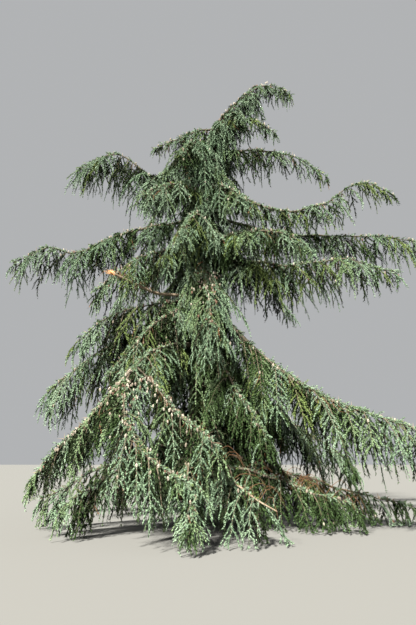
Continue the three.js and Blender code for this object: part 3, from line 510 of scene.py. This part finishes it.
# ------------------------------------------------------------------ side branches
# Each leaves its limb sideways, arches over and hangs, more steeply where feather is high.
K = 6
sec_P, sec_m, sec_tint, sec_hang, sec_f, sec_in = [], [], [], [], [], []
for mi_, (mname, on, a, b_, w, d0, d1, olive, dens, feather) in enumerate(MASSES):
    length = float(np.linalg.norm(np.diff(crest(on, np.linspace(a, b_, 40)), axis=0), axis=1).sum())
    n = max(10, int(length / SPACING * dens))
    f = (np.arange(n) + rng.uniform(0.2, 0.8, n)) / n
    s = a + (b_ - a) * f
    c = limb(on, s)
    dd, flat, side = limb_frame(on, s)
    sign = np.where(np.arange(n) % 2 == 0, 1.0, -1.0)
    ends = b_ >= 1
    tip = np.clip((f - 0.62) / 0.38, 0, 1) if ends else np.zeros(n)
    belly = np.minimum(1, (0.8 if a < 0.5 else 0.95) + f) * (1 - 0.62 * tip ** 1.6)
    d = d0 + (d1 - d0) * f
    # on the steep limbs they point on along the limb, more to the side on the level ones
    theta = np.radians(rng.uniform(24, 66, n) if feather >= 0.6 else rng.uniform(10, 54, n)) * (1 - tip) + np.radians(rng.uniform(45, 88, n)) * tip
    leave = side * (sign * np.cos(theta))[:, None] + dd * np.sin(theta)[:, None]
    head = leave.copy()
    head[:, 2] = 0
    head = unit(head)
    under = rng.rand(n) < 0.17 + 0.06 * feather                                   # some hang in the shade straight below the limb
    below = ~under & (rng.rand(n) < 0.06 + 0.22 * feather)       # and some in the shade of the outer ones
    inner = under | below
    # on level limbs they bend down at once, so that the crest stays a thin line
    lift = rng.uniform(-46, -8, n) * (1 - feather) + rng.uniform(-15, 11, n) * feather
    if mname == "leader":
        lift = rng.uniform(-62, -30, n)
    phi0 = np.arcsin(np.clip(leave[:, 2], -1, 1)) + np.radians(lift - 26 * below)
    phi0 = np.where(under, np.radians(rng.uniform(-80, -45, n)), np.maximum(phi0, -1.35))
    phi1 = np.minimum(np.radians(-(48 + 28 * feather) + rng.uniform(-9, 9, n)), phi0 - 0.15)
    bend = 1.1 + 1.0 * feather
    reach = 0.88 * w
    fall = (0.26 + 0.50 * feather) * d
    Ls = np.hypot(reach, fall) * 1.12 * rng.uniform(0.42, 1.10, n) ** 0.85 * belly
    Ls = np.where(under, np.minimum(Ls, 0.75 * d), Ls)
    t = np.linspace(0, 1, K)
    ease = (1 - np.exp(-bend * t)) / (1 - np.exp(-bend))
    phi = phi0[:, None] + (phi1 - phi0)[:, None] * ease[None, :]
    turn = rng.normal(0, 0.18, n)[:, None] * t[None, :]
    hx = head[:, None, 0] * np.cos(turn) - head[:, None, 1] * np.sin(turn)
    hy = head[:, None, 0] * np.sin(turn) + head[:, None, 1] * np.cos(turn)
    D = np.stack([hx * np.cos(phi), hy * np.cos(phi), np.sin(phi)], -1)
    step = (Ls / (K - 1))[:, None, None]
    P = np.concatenate([np.zeros((n, 1, 3)), np.cumsum((D[:, :-1] + D[:, 1:]) * 0.5 * step, axis=1)], 1) + c[:, None, :]
    P += rng.normal(0, 0.008, P.shape) * np.minimum(1, t * 3)[None, :, None]
    low = GROUND + 0.05 + 0.10 * rng.rand(n, 1) * np.ones((1, K))
    P[..., 2] = np.where(P[..., 2] < low, low + 0.02 * rng.rand(n, K), P[..., 2])
    sec_P.append(P)
    sec_m.append(np.full(n, mi_))
    sec_hang.append(d * (1 - 0.45 * tip))
    sec_f.append(np.full(n, feather))
    sec_in.append(inner)
    # a patch of the crown shares its colour, and single side branches stray from it
    patch = noise2(np.full(n, mi_ * 1.7), s * 4.0 + mi_, 71, 64, 64)
    roll = rng.rand(n)
    low = mname in ("ridge_left", "ridge_front", "ridge_right", "front_left", "front_low", "front_low_2", "front_low_4", "left_low", "right_6_inner", "front_4")
    tint = np.where(roll < (0.14 if low else 0.46), 0, np.where(roll < (0.60 if low else 0.76), 1, 2))
    tint = np.where(rng.rand(n) < olive * (0.15 + 1.2 * patch), 3, tint)
    # painted shade: the side branches hanging under and below the outer ones take the shade and deep tints
    tint = np.where(inner, np.where(rng.rand(n) < 0.65, 6, 4), tint)
    # painted shade: this share of each listed mass takes the deep tint
    tint = np.where(rng.rand(n) < SHADED.get(mname, 0), 4, tint)
    sec_tint.append(tint)
# small limbs straight out of the trunk, between the boughs, round the foot of the leader,
# and long ones in the shadow low down at the right, dark-tinted as painted shade
n_low, n_top, n_mid, n_painted_shade = 270, 40, 56, 44
n = n_low + n_top + n_mid + n_painted_shade
z = np.concatenate([1.3 + 11.2 * rng.rand(n_low), rng.uniform(11.9, 13.95, n_top), rng.uniform(8.0, 11.4, n_mid), rng.uniform(2.4, 4.3, n_painted_shade)])
az = np.concatenate([rng.uniform(0, 2 * np.pi, n_low), np.radians(rng.normal(-6, 34, n_top)), np.radians(rng.normal(-85, 48, n_mid)), np.radians(rng.uniform(-20, 50, n_painted_shade))])
head = np.stack([np.cos(az), np.sin(az), np.zeros(n)], -1)
size = np.minimum(1, 0.42 + 0.10 * (13.0 - z))
Ls = rng.uniform(0.85, 2.10, n) * size
Ls[n_low:n_low + n_top] = rng.uniform(0.65, 1.35, n_top)
Ls[n_low + n_top:n - n_painted_shade] = rng.uniform(1.0, 1.9, n_mid)
Ls[n - n_painted_shade:] = rng.uniform(1.7, 3.7, n_painted_shade)
t = np.linspace(0, 1, K)
ease = (1 - np.exp(-1.6 * t)) / (1 - np.exp(-1.6))
phi = np.radians(rng.uniform(-16, 16, n))[:, None] + (np.radians(rng.uniform(-74, -54, n)) - 0.1)[:, None] * ease[None, :]
D = np.stack([head[:, 0:1] * np.cos(phi), head[:, 1:2] * np.cos(phi), np.sin(phi)], -1)
P = np.concatenate([np.zeros((n, 1, 3)), np.cumsum((D[:, :-1] + D[:, 1:]) * 0.5 * (Ls / (K - 1))[:, None, None], axis=1)], 1)
P = P + stem_at(z)[:, None, :] + head[:, None, :] * (np.interp(z, STEM[:, 0], STEM_R) * 0.8)[:, None, None]
P[..., 2] = np.maximum(P[..., 2], GROUND + 0.1)
near = [int(np.argmin([abs((stem_at(BOUGHS[m[1]]["z"])[2] if m[1] in BOUGHS and "z" in BOUGHS[m[1]] else 99) - zz) for m in MASSES])) for zz in z]
sec_P.append(P)
sec_m.append(np.array(near))
sec_hang.append(np.full(n, 1.2))
sec_f.append(np.full(n, 0.45))
sec_in.append(np.zeros(n, bool))
# painted light and shade by height: brighter tints towards the top, darker ones below 6.2 m, and the darkest share
# takes the shade tint in place of the dead one
deal = rng.rand(n) * np.interp(z, [6.0, 8.0, 11.0], [1.0, 0.76, 0.52])         # brighter towards the top
deal = np.where(z < 6.2, 0.45 + 0.55 * deal, deal)
sec_tint.append(np.digitize(deal, [0.24, 0.50, 0.66, 0.71, 0.90]))
sec_tint[-1][sec_tint[-1] == 5] = 6
# painted shade: the long low ones take the shade and deep tints
sec_tint[-1][n - n_painted_shade:] = np.where(rng.rand(n_painted_shade) < 0.6, 6, 4)

SP, SM, ST = np.concatenate(sec_P), np.concatenate(sec_m), np.concatenate(sec_tint)
SH, SF, SI = np.concatenate(sec_hang), np.concatenate(sec_f), np.concatenate(sec_in)
NS = len(SP)
SL = np.linalg.norm(np.diff(SP, axis=1), axis=2).sum(1)
UPZ = np.array([0, 0, 1.0])

# strands: every hanging or upright spray is a curved line with needles round it
# kind 0: down both sides of a side branch; 1: their side shoots; 2: on the limbs;
# 3: dark in painted shade, inside the crown; 4: the needles of the side branch itself
bank = dict(p=[], d=[], L=[], g=[], w=[], tint=[], mass=[], kind=[])


def add_strands(p, d, L, g, w, tint, mass, kind):
    n = len(p)
    for key, val in (("p", p), ("d", d), ("L", L), ("g", g), ("w", w), ("tint", tint), ("mass", mass)):
        bank[key].append(np.asarray(val))
    bank["kind"].append(np.full(n, kind))


def along(p, d, L, g, w, t):
    t = t[..., None]
    g = g[..., None]
    P = p + L[..., None] * (d * (t - g * 0.55 * t * t) - UPZ * (g * t * t) + w * np.sin(t * np.pi * 1.5))
    low = GROUND + 0.02
    P[..., 2] = np.where(P[..., 2] < low, low - 0.10 * np.clip(P[..., 2] - low, -0.2, 0), P[..., 2])
    return P


# ------------------------------------------------------------------ sprays down both sides of a side branch
gap = np.where(SI, STRAND_STEP * 1.25, STRAND_STEP)
ns = np.maximum(4, (SL / gap).astype(int)) + 1
si = np.repeat(np.arange(NS), ns)
order = np.arange(len(si)) - np.repeat(np.cumsum(ns) - ns, ns)
tt = np.clip((order + rng.uniform(0.3, 0.7, len(si))) / ns[si], 0.04, 1.0)
last = order == ns[si] - 1
tt[last] = 0.985
fi = tt * (K - 1)
i0 = np.minimum(fi.astype(int), K - 2)
fr = (fi - i0)[:, None]
p = SP[si, i0] * (1 - fr) + SP[si, i0 + 1] * fr
tan = unit(SP[si, i0 + 1] - SP[si, i0])
flatdir = SP[:, -1] - SP[:, 0]
flatdir[:, 2] = 0
flatdir = unit(flatdir + 1e-4)[si]
perp = np.stack([flatdir[:, 1], -flatdir[:, 0], np.zeros(len(si))], -1)
sgn = np.where(order % 2 == 0, 1.0, -1.0)[:, None]
nst = len(si)
F = SF[si]
beta = np.radians(rng.uniform(36, 52, nst) + 8 * (1 - F))[:, None]
stray = 0.04 + 0.10 * (1 - F)[:, None]
d = unit(tan * np.cos(beta) + perp * sgn * np.sin(beta) + rng.normal(0, 1, (nst, 3)) * stray - UPZ * (0.05 + 0.22 * rng.rand(nst, 1)))
d[last] = unit(tan[last] - UPZ * 0.2)
env = np.interp(tt, [0, 0.20, 0.60, 1.0], [0.62, 1.0, 0.88, 0.45])
long_ = rng.uniform(0.36, 0.92, nst) * np.clip(SH[si] / 1.45, 0.42, 1.50)
short = rng.uniform(0.38, 0.58, nst) * env
L = long_ * (1 - F) + short * F
L = np.where(SI[si], L * 0.72, np.where(rng.rand(nst) < 0.08, L * rng.uniform(0.35, 0.7, nst), L))
L = np.minimum(L, np.maximum(0.14, (p[:, 2] - GROUND) * 1.25))
g = rng.uniform(0.42, 0.80, nst) * (1 - 0.35 * F)
w = rng.normal(0, 0.04, (nst, 3)) * np.array([1, 1, 0.3])
tint = ST[si].copy()
r_ = rng.rand(nst)
tint = np.where((r_ < 0.07) & ~SI[si], rng.randint(0, 3, nst), tint)
tint = np.where((tt < 0.18) & (rng.rand(nst) < 0.35), 4, tint)
tint = np.where(r_ > 0.990, 5, tint)
add_strands(p, d, L, g, w, tint, SM[si], 0)

# side shoots of the longer sprays, both ways in the plane of the spray
ns2 = np.where((L > 0.42) & ~SI[si], (L * (1 - 0.5 * F) / 0.26).astype(int), 0)
par = np.repeat(np.arange(nst), ns2)
o2 = np.arange(len(par)) - np.repeat(np.cumsum(ns2) - ns2, ns2)
t2 = 0.14 + 0.72 * (o2 + rng.uniform(0.2, 0.8, len(par))) / ns2[par]
q = along(p[par], d[par], L[par], g[par], w[par], t2)
q1 = along(p[par], d[par], L[par], g[par], w[par], t2 + 0.03)
tq = unit(q1 - q)
plane = np.cross(np.cross(tan[par], tq) + 1e-4, tq)
turn = rng.normal(0, 0.5, len(par))[:, None]
plane = unit(plane)
plane = plane * np.cos(turn) + np.cross(tq, plane) * np.sin(turn)
sp = np.radians(rng.uniform(28, 46, len(par)))[:, None]
dq = unit(tq * np.cos(sp) + plane * np.sin(sp) * np.where(o2 % 2 == 0, 1.0, -1.0)[:, None])
add_strands(q, dq, rng.uniform(0.10, 0.19, len(par)) * (1.15 - 0.5 * t2), rng.uniform(0.2, 0.5, len(par)),
            rng.normal(0, 0.03, (len(par), 3)), tint[par], SM[si][par], 1)

# the needles of the side branches themselves
q = SP[:, :-1].reshape(-1, 3)
dq = (SP[:, 1:] - SP[:, :-1]).reshape(-1, 3)
lq = np.linalg.norm(dq, axis=1)
keep = np.tile(np.arange(K - 1) > 0, NS) | (rng.rand(len(q)) < 0.6)
add_strands(q[keep], unit(dq)[keep], lq[keep] * 1.04, np.zeros(keep.sum()), np.zeros((keep.sum(), 3)),
            np.repeat(ST, K - 1)[keep], np.repeat(SM, K - 1)[keep], 4)

# short upright and sideways sprays that clothe the limbs
for mi_, (mname, on, a, b_, w_, d0, d1, olive, dens, feather) in enumerate(MASSES):
    length = float(np.linalg.norm(crest(on, b_) - crest(on, a)))
    n = int(length / (0.020 if on == "right_6" else 0.030))
    s = rng.uniform(a, b_, n)
    dd, flat, side = limb_frame(on, s)
    c = limb(on, s)
    ang = rng.normal(0, 1.15, n)[:, None]
    vec = unit(UPZ * np.cos(ang) + side * np.sin(ang) + dd * rng.uniform(0.3, 1.5, (n, 1)))
    tt_ = rng.choice([0, 1, 2, 3], n, p=[0.34, 0.36, 0.2, 0.1])
    add_strands(c, vec, rng.uniform(0.08, 0.16 if mname == "leader" else 0.28 if on == "right_6" else 0.22, n), rng.uniform(0.15, 0.6, n), rng.normal(0, 0.03, (n, 3)), tt_, np.full(n, mi_), 2)

# sprays inside the crown, given the shade and deep tints as painted shade, hanging from the inner part of each limb and
# from the side branches
IN = [(nm, mi_) for nm in BOUGHS for mi_ in [next((k for k, m in enumerate(MASSES) if m[1] == nm), None)] if mi_ is not None]
for nm, mi_ in IN:
    b = BOUGHS[nm]
    n = int(b["reach"] * 9)
    s = rng.uniform(0.03, 0.60, n)
    c = limb(nm, s)
    dd, flat, side = limb_frame(nm, s)
    hgt = np.maximum(0.15, c[:, 2] - GROUND)
    vec = unit(side * rng.normal(0, 0.55, (n, 1)) + dd * rng.normal(0, 0.4, (n, 1)) - UPZ * rng.uniform(0.2, 0.8, (n, 1)))
    LL = np.minimum(rng.uniform(0.45, 1.15, n), hgt * 1.1)
    add_strands(c, vec, LL, rng.uniform(0.3, 0.6, n), rng.normal(0, 0.05, (n, 3)), np.where(rng.rand(n) < 0.30, 4, 6), np.full(n, mi_), 3)
n = NS
kk = rng.randint(0, 3, n)
c = SP[np.arange(n), kk] + (SP[np.arange(n), kk + 1] - SP[np.arange(n), kk]) * rng.rand(n, 1)
back = SP[:, 0] - SP[:, -1]
back[:, 2] = 0
vec = unit(back * 0.5 - UPZ * rng.uniform(0.5, 1.2, (n, 1)) + rng.normal(0, 0.25, (n, 3)))
LL = np.minimum(rng.uniform(0.35, 0.72, n) * np.clip(SH / 1.5, 0.4, 1.2), np.maximum(0.15, c[:, 2] - GROUND))
add_strands(c, vec, LL, rng.uniform(0.2, 0.5, n), rng.normal(0, 0.04, (n, 3)), np.full(n, 6), SM, 3)

p0, d0v, L = np.concatenate(bank["p"]), np.concatenate(bank["d"]), np.concatenate(bank["L"])
gcoef, wob = np.concatenate(bank["g"]), np.concatenate(bank["w"])
tint_s, mass_s, kind_s = np.concatenate(bank["tint"]), np.concatenate(bank["mass"]), np.concatenate(bank["kind"])
NSTR = len(p0)


def strand_at(idx, t):
    return along(p0[idx], d0v[idx], L[idx], gcoef[idx], wob[idx], t)


# ------------------------------------------------------------------ needles
BIG = np.where(kind_s == 3, 1.8, np.where(tint_s == 6, 1.5, np.where(tint_s == 4, 1.35, 1.0)))                       # the inner sprays carry fewer, longer needles
DENSE = np.array([1.0, 0.85, 0.85, 1.0, 0.80])[kind_s]
nn = np.maximum(4, (L * NEEDLES_PER_M * DENSE / BIG ** 1.1).astype(int))
nn = np.where(tint_s == 5, (nn * 0.35).astype(int), nn)
ni = np.repeat(np.arange(NSTR), nn)
no = np.arange(len(ni)) - np.repeat(np.cumsum(nn) - nn, nn)
t = np.clip((no + rng.uniform(0, 1, len(ni))) / nn[ni], 0, 1)
P = strand_at(ni, t)
T = unit(strand_at(ni, t + 0.03) - strand_at(ni, t - 0.03))
ref = np.where(np.abs(T[:, 2:3]) < 0.85, UPZ, np.array([1.0, 0, 0]))
U = unit(np.cross(T, ref))
V = np.cross(T, U)
phi = no * 2.39996 + rng.uniform(-0.5, 0.5, len(ni)) + ni
Rd = U * np.cos(phi)[:, None] + V * np.sin(phi)[:, None]
alpha = np.radians(rng.uniform(24, 52, len(ni)))
ND = T * np.cos(alpha)[:, None] + Rd * np.sin(alpha)[:, None]
nl = NEEDLE_LEN * rng.uniform(0.75, 1.2, len(ni)) * (1 - 0.30 * t ** 3) * BIG[ni]
bb = unit(np.cross(ND, Rd))
tw = rng.normal(0, 0.45, len(ni))[:, None]
bb = unit(bb * np.cos(tw) + np.cross(ND, bb) * np.sin(tw))
hw = (NEEDLE_W * 0.5 * rng.uniform(0.85, 1.15, len(ni)) * BIG[ni] ** 0.9)[:, None]
root = P + Rd * 0.003
tri_co = np.stack([root - bb * hw, root + bb * hw, root + ND * nl[:, None]], 1)
tri_co[..., 2] = np.maximum(tri_co[..., 2], 0.012)
needle_mass = mass_s[ni]
needle_tint = tint_s[ni]
print("COUNT side branches", NS, "strands", NSTR, "by kind", np.bincount(kind_s), "length", round(float(L.sum())), "needles", len(ni))

# each piece holds the needles of some whole masses, under 200,000 triangles
groups, cur, count = [], [], 0
per = np.bincount(needle_mass, minlength=len(MASSES))
for m_ in range(len(MASSES)):
    if count + per[m_] > 190000:
        groups.append(cur)
        cur, count = [], 0
    cur.append(m_)
    count += per[m_]
groups.append(cur)
for gi, g in enumerate(groups):
    pick = np.isin(needle_mass, g)
    cc = tri_co[pick].reshape(-1, 3)
    tr = np.arange(len(cc)).reshape(-1, 3)
    o = mesh_object(f"needle_sprays_{gi + 1}", cc, tr, TINTS, needle_tint[pick])
    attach(o, "root")
    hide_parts(*[f"needles_{MASSES[m_][0]}" for m_ in g if f"needles_{MASSES[m_][0]}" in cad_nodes])

# ------------------------------------------------------------------ twigs
r_sec = np.interp(SL, [0.2, 1.6], [0.008, 0.018])
RS = r_sec[:, None] * (1 - 0.72 * np.linspace(0, 1, K)[None, :])
co1, t1 = tubes(SP, RS, 3)
o = mesh_object("side_branches", co1, t1, [M_TWIG], smooth_shade=True)
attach(o, "root")


def spikes(idx, r_a, bend):
    """Three-sided shoots to a point: one straight piece, or two where bend is set."""
    n = len(idx)
    ts_ = [0.0, 0.5, 0.97] if bend else [0.0, 0.92]
    C = np.stack([strand_at(idx, np.full(n, q)) for q in ts_], 1)
    T_ = unit(C[:, -1] - C[:, 0])
    ref_ = np.where(np.abs(T_[:, 2:3]) < 0.85, UPZ, np.array([1.0, 0, 0]))
    U_ = unit(np.cross(T_, ref_))
    V_ = np.cross(T_, U_)
    rings, radii = len(ts_) - 1, ([r_a, r_a * 0.8] if bend else [r_a])
    pts = []
    for k_ in range(rings):
        for q in range(3):
            an = q * 2 * np.pi / 3
            pts.append(C[:, k_] + (U_ * np.cos(an) + V_ * np.sin(an)) * radii[k_])
    pts.append(C[:, -1])
    per_ = len(pts)
    co_ = np.stack(pts, 1).reshape(-1, 3)
    base = (np.arange(n) * per_)[:, None]
    t_ = []
    for k_ in range(rings - 1):
        for q in range(3):
            A_, B_ = k_ * 3 + q, k_ * 3 + (q + 1) % 3
            t_ += [[A_, B_, B_ + 3], [A_, B_ + 3, A_ + 3]]
    for q in range(3):
        t_.append([(rings - 1) * 3 + q, (rings - 1) * 3 + (q + 1) % 3, per_ - 1])
    return co_, (base[:, :, None] + np.array(t_)[None]).reshape(-1, 3)


prim = np.nonzero(kind_s == 0)[0]
rest = np.nonzero((kind_s == 1) | (kind_s == 2) | (kind_s == 3))[0]
half = len(prim) // 2
for k_, (name_, idx_, r_a, bend_) in enumerate([("hanging_shoots_1", prim[:half], 0.0150, True), ("hanging_shoots_2", prim[half:], 0.0150, True), ("side_shoots", rest, 0.0110, False)]):
    co_, t_ = spikes(idx_, r_a, bend_)
    o = mesh_object(name_, co_, t_, SHOOTS, np.repeat(tint_s[idx_], 9 if bend_ else 3), smooth_shade=True)
    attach(o, "root")

# bare pale sticks standing along the crests, and brown dead twigs hanging inside
st_p, st_d, st_l, st_m = [], [], [], []
for mi_, (mname, on, a, b_, w_, d0, d1, olive, dens, feather) in enumerate(MASSES):
    length = float(np.linalg.norm(crest(on, b_) - crest(on, a)))
    n = int(length * (14 if mname.startswith("ridge") or mname == "front_4" else 7))
    s = rng.uniform(a, b_ - 0.03, n)
    dd, flat, side = limb_frame(on, s)
    ang = rng.normal(0, 0.7, n)[:, None]
    st_p.append(limb(on, s))
    st_d.append(unit(UPZ * np.cos(ang) + side * np.sin(ang) + dd * rng.uniform(-0.3, 1.6, (n, 1))))
    st_l.append(rng.uniform(0.08, 0.26, n))
    st_m.append(np.zeros(n, int))
    n = int(length * 5)
    s = rng.uniform(max(0.0, a - 0.1), a + (b_ - a) * 0.7, n)
    dd, flat, side = limb_frame(on, s)
    st_p.append(limb(on, s))
    st_d.append(unit(-UPZ * rng.uniform(0.5, 1.2, (n, 1)) + side * rng.normal(0, 0.5, (n, 1)) + dd * rng.normal(0.2, 0.4, (n, 1))))
    st_l.append(np.minimum(rng.uniform(0.25, 0.75, n), np.maximum(0.1, limb(on, s)[:, 2] - 0.1)))
    st_m.append(np.ones(n, int))
p0, d0v, L = np.concatenate(st_p), np.concatenate(st_d), np.concatenate(st_l)
gcoef, wob = np.full(len(p0), 0.12), rng.normal(0, 0.05, (len(p0), 3))
stick_m = np.concatenate(st_m)
co_, t_ = spikes(np.arange(len(p0)), 0.0065, True)
o = mesh_object("bare_twigs", co_, t_, [M_TWIG_PALE, M_DEAD], np.repeat(stick_m, 9))
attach(o, "root")

# brown dead twigs that arch out of the low limbs at the right and the snapped one
arcs = []
for nm, n, s0_, s1_ in (("front_low_3", 26, 0.35, 0.98), ("front_low_2", 12, 0.55, 0.95), ("right_6", 16, 0.35, 0.62), ("left_broken", 12, 0.45, 0.97)):
    s = rng.uniform(s0_, s1_, n)
    dd, flat, side = limb_frame(nm, s)
    t = np.linspace(0, 1, 9)[None, :, None]
    out = unit(side * rng.normal(0, 0.7, (n, 1)) + flat * rng.uniform(0.3, 1.0, (n, 1)))
    reach_ = rng.uniform(0.35, 0.85, (n, 1, 1))
    rise = rng.uniform(0.15, 0.42, (n, 1, 1)) * (1.0 if nm != "right_6" else -1.2)
    A_ = limb(nm, s)[:, None, :] + out[:, None, :] * reach_ * t + UPZ * (rise * np.sin(np.pi * t * 0.92) - 0.25 * t * t)
    A_ = A_ + rng.normal(0, 0.012, A_.shape) * np.minimum(1, t * 4)
    A_[..., 2] = np.maximum(A_[..., 2], 0.03)
    arcs.append(A_)
arcs = np.concatenate(arcs)
co_, t_ = tubes(arcs, np.broadcast_to(0.0085 * (1 - 0.7 * np.linspace(0, 1, 9)), arcs.shape[:2]), 3)
o = mesh_object("dead_twigs", co_, t_, [M_DEAD], smooth_shade=True)
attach(o, "root")

# ------------------------------------------------------------------ cones on the upper sides of limbs
def cone_mesh(p, h, rad, seed):
    r_ = np.random.RandomState(seed)
    rings, sides = 3, 5
    prof = np.array([0.70, 1.0, 0.45])
    zz = np.linspace(0, 1, rings) * h
    lean = r_.normal(0, 0.12, 2)
    c_ = []
    for k_ in range(rings):
        a_ = np.arange(sides) * 2 * np.pi / sides + (k_ % 2) * np.pi / sides
        bumpy = 1 + 0.12 * (r_.rand(sides) - 0.5)
        x = p[0] + lean[0] * zz[k_] + rad * prof[k_] * np.cos(a_) * bumpy
        y_ = p[1] + lean[1] * zz[k_] + rad * prof[k_] * np.sin(a_) * bumpy
        c_.append(np.stack([x, y_, np.full(sides, p[2] + zz[k_])], -1))
    c_ = np.concatenate(c_)
    A = (np.arange(rings - 1) * sides)[:, None] + np.arange(sides)[None, :]
    B = (np.arange(rings - 1) * sides)[:, None] + (np.arange(sides)[None, :] + 1) % sides
    C, D = A + sides, B + sides
    t_ = np.concatenate([np.stack([A, B, D], -1).reshape(-1, 3), np.stack([A, D, C], -1).reshape(-1, 3)])
    q = np.arange(1, sides - 1)
    e = (rings - 1) * sides
    t_ = np.concatenate([t_, np.stack([np.zeros_like(q), q + 1, q], -1), np.stack([np.full_like(q, e), e + q, e + q + 1], -1)])
    return c_, t_


# cones to the metre where they crowd, most of them near the start of the crest, and 4 elsewhere
CONES = {"ridge_left": 30, "ridge_front": 22, "ridge_right": 24, "front_4": 30, "right_6_inner": 9, "leader": 14, "left_2": 6, "right_1": 6, "right_2_inner": 6, "front_left": 2}
cones = []
seed = 500
for mi_, (mname, on, a, b_, w, d0, d1, olive, dens, feather) in enumerate(MASSES):
    length = float(np.linalg.norm(crest(on, b_) - crest(on, a)))
    many = CONES.get(mname, 4.0)
    n = int(length * many)
    s = a + (b_ - 0.06 - a) * rng.rand(n) ** (1.0 if many < 5 else 1.9 if many > 16 else 1.5)
    c = limb(on, s)
    _, flat, side = limb_frame(on, s)
    off = rng.normal(0, 0.07 if many < 5 else 0.20 if many > 16 else 0.10, n)
    for k_ in range(n):
        p = c[k_] + side[k_] * off[k_] + np.array([0, 0, 0.02 - 0.35 * abs(off[k_])])
        cones.append((*cone_mesh(p, rng.uniform(0.050, 0.085), rng.uniform(0.019, 0.029), seed), rng.choice([0, 1, 2], p=[0.52, 0.13, 0.35])))
        seed += 1
pick_sec = rng.choice(NS, 240, replace=False)
for q in pick_sec:
    k_ = rng.randint(1, 5)
    p = SP[q, k_] + np.array([0, 0, 0.01])
    cones.append((*cone_mesh(p, rng.uniform(0.06, 0.09), rng.uniform(0.02, 0.03), seed), rng.choice([0, 1, 2], p=[0.55, 0.2, 0.25])))
    seed += 1
co, tris, mi = join(cones)
o = mesh_object("cones", co, tris, [M_CONE, M_CONE_RED, M_CONE_PALE], mi)
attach(o, "root")

# ------------------------------------------------------------------ floor, light, camera
bpy.ops.mesh.primitive_plane_add(size=1600, location=(0, 0, -0.002))
floor = bpy.context.object
floor.name = "floor"
fm = plain("floor_pale", (142, 142, 139), 0.95, 0.05)
floor.data.materials.append(fm)

world = bpy.data.worlds.new("studio")
bpy.context.scene.world = world
world.use_nodes = True
bg = world.node_tree.nodes["Background"]
bg.inputs["Color"].default_value = (0.96, 0.98, 1.0, 1)
bg.inputs["Strength"].default_value = 0.46

sun = bpy.data.lights.new("key", "SUN")
sun.energy = 19.5
sun.angle = math.radians(5)
sun.color = (1.0, 0.965, 0.89)
so = bpy.data.objects.new("key", sun)
so.rotation_euler = (math.radians(50), math.radians(0), math.radians(-27))
bpy.context.scene.collection.objects.link(so)

cam = bpy.data.cameras.new("camera")
cam.lens = 30.0
cam.sensor_width = 36.0
cam.sensor_fit = "AUTO"
cam.clip_end = 500
cam_o = bpy.data.objects.new("camera", cam)
cam_o.location = (0.40, -15.40, 1.60)
cam_o.rotation_euler = (math.radians(90 + 16.117), 0, 0)
bpy.context.scene.collection.objects.link(cam_o)
bpy.context.scene.camera = cam_o
bpy.context.scene.view_settings.view_transform = "Standard"
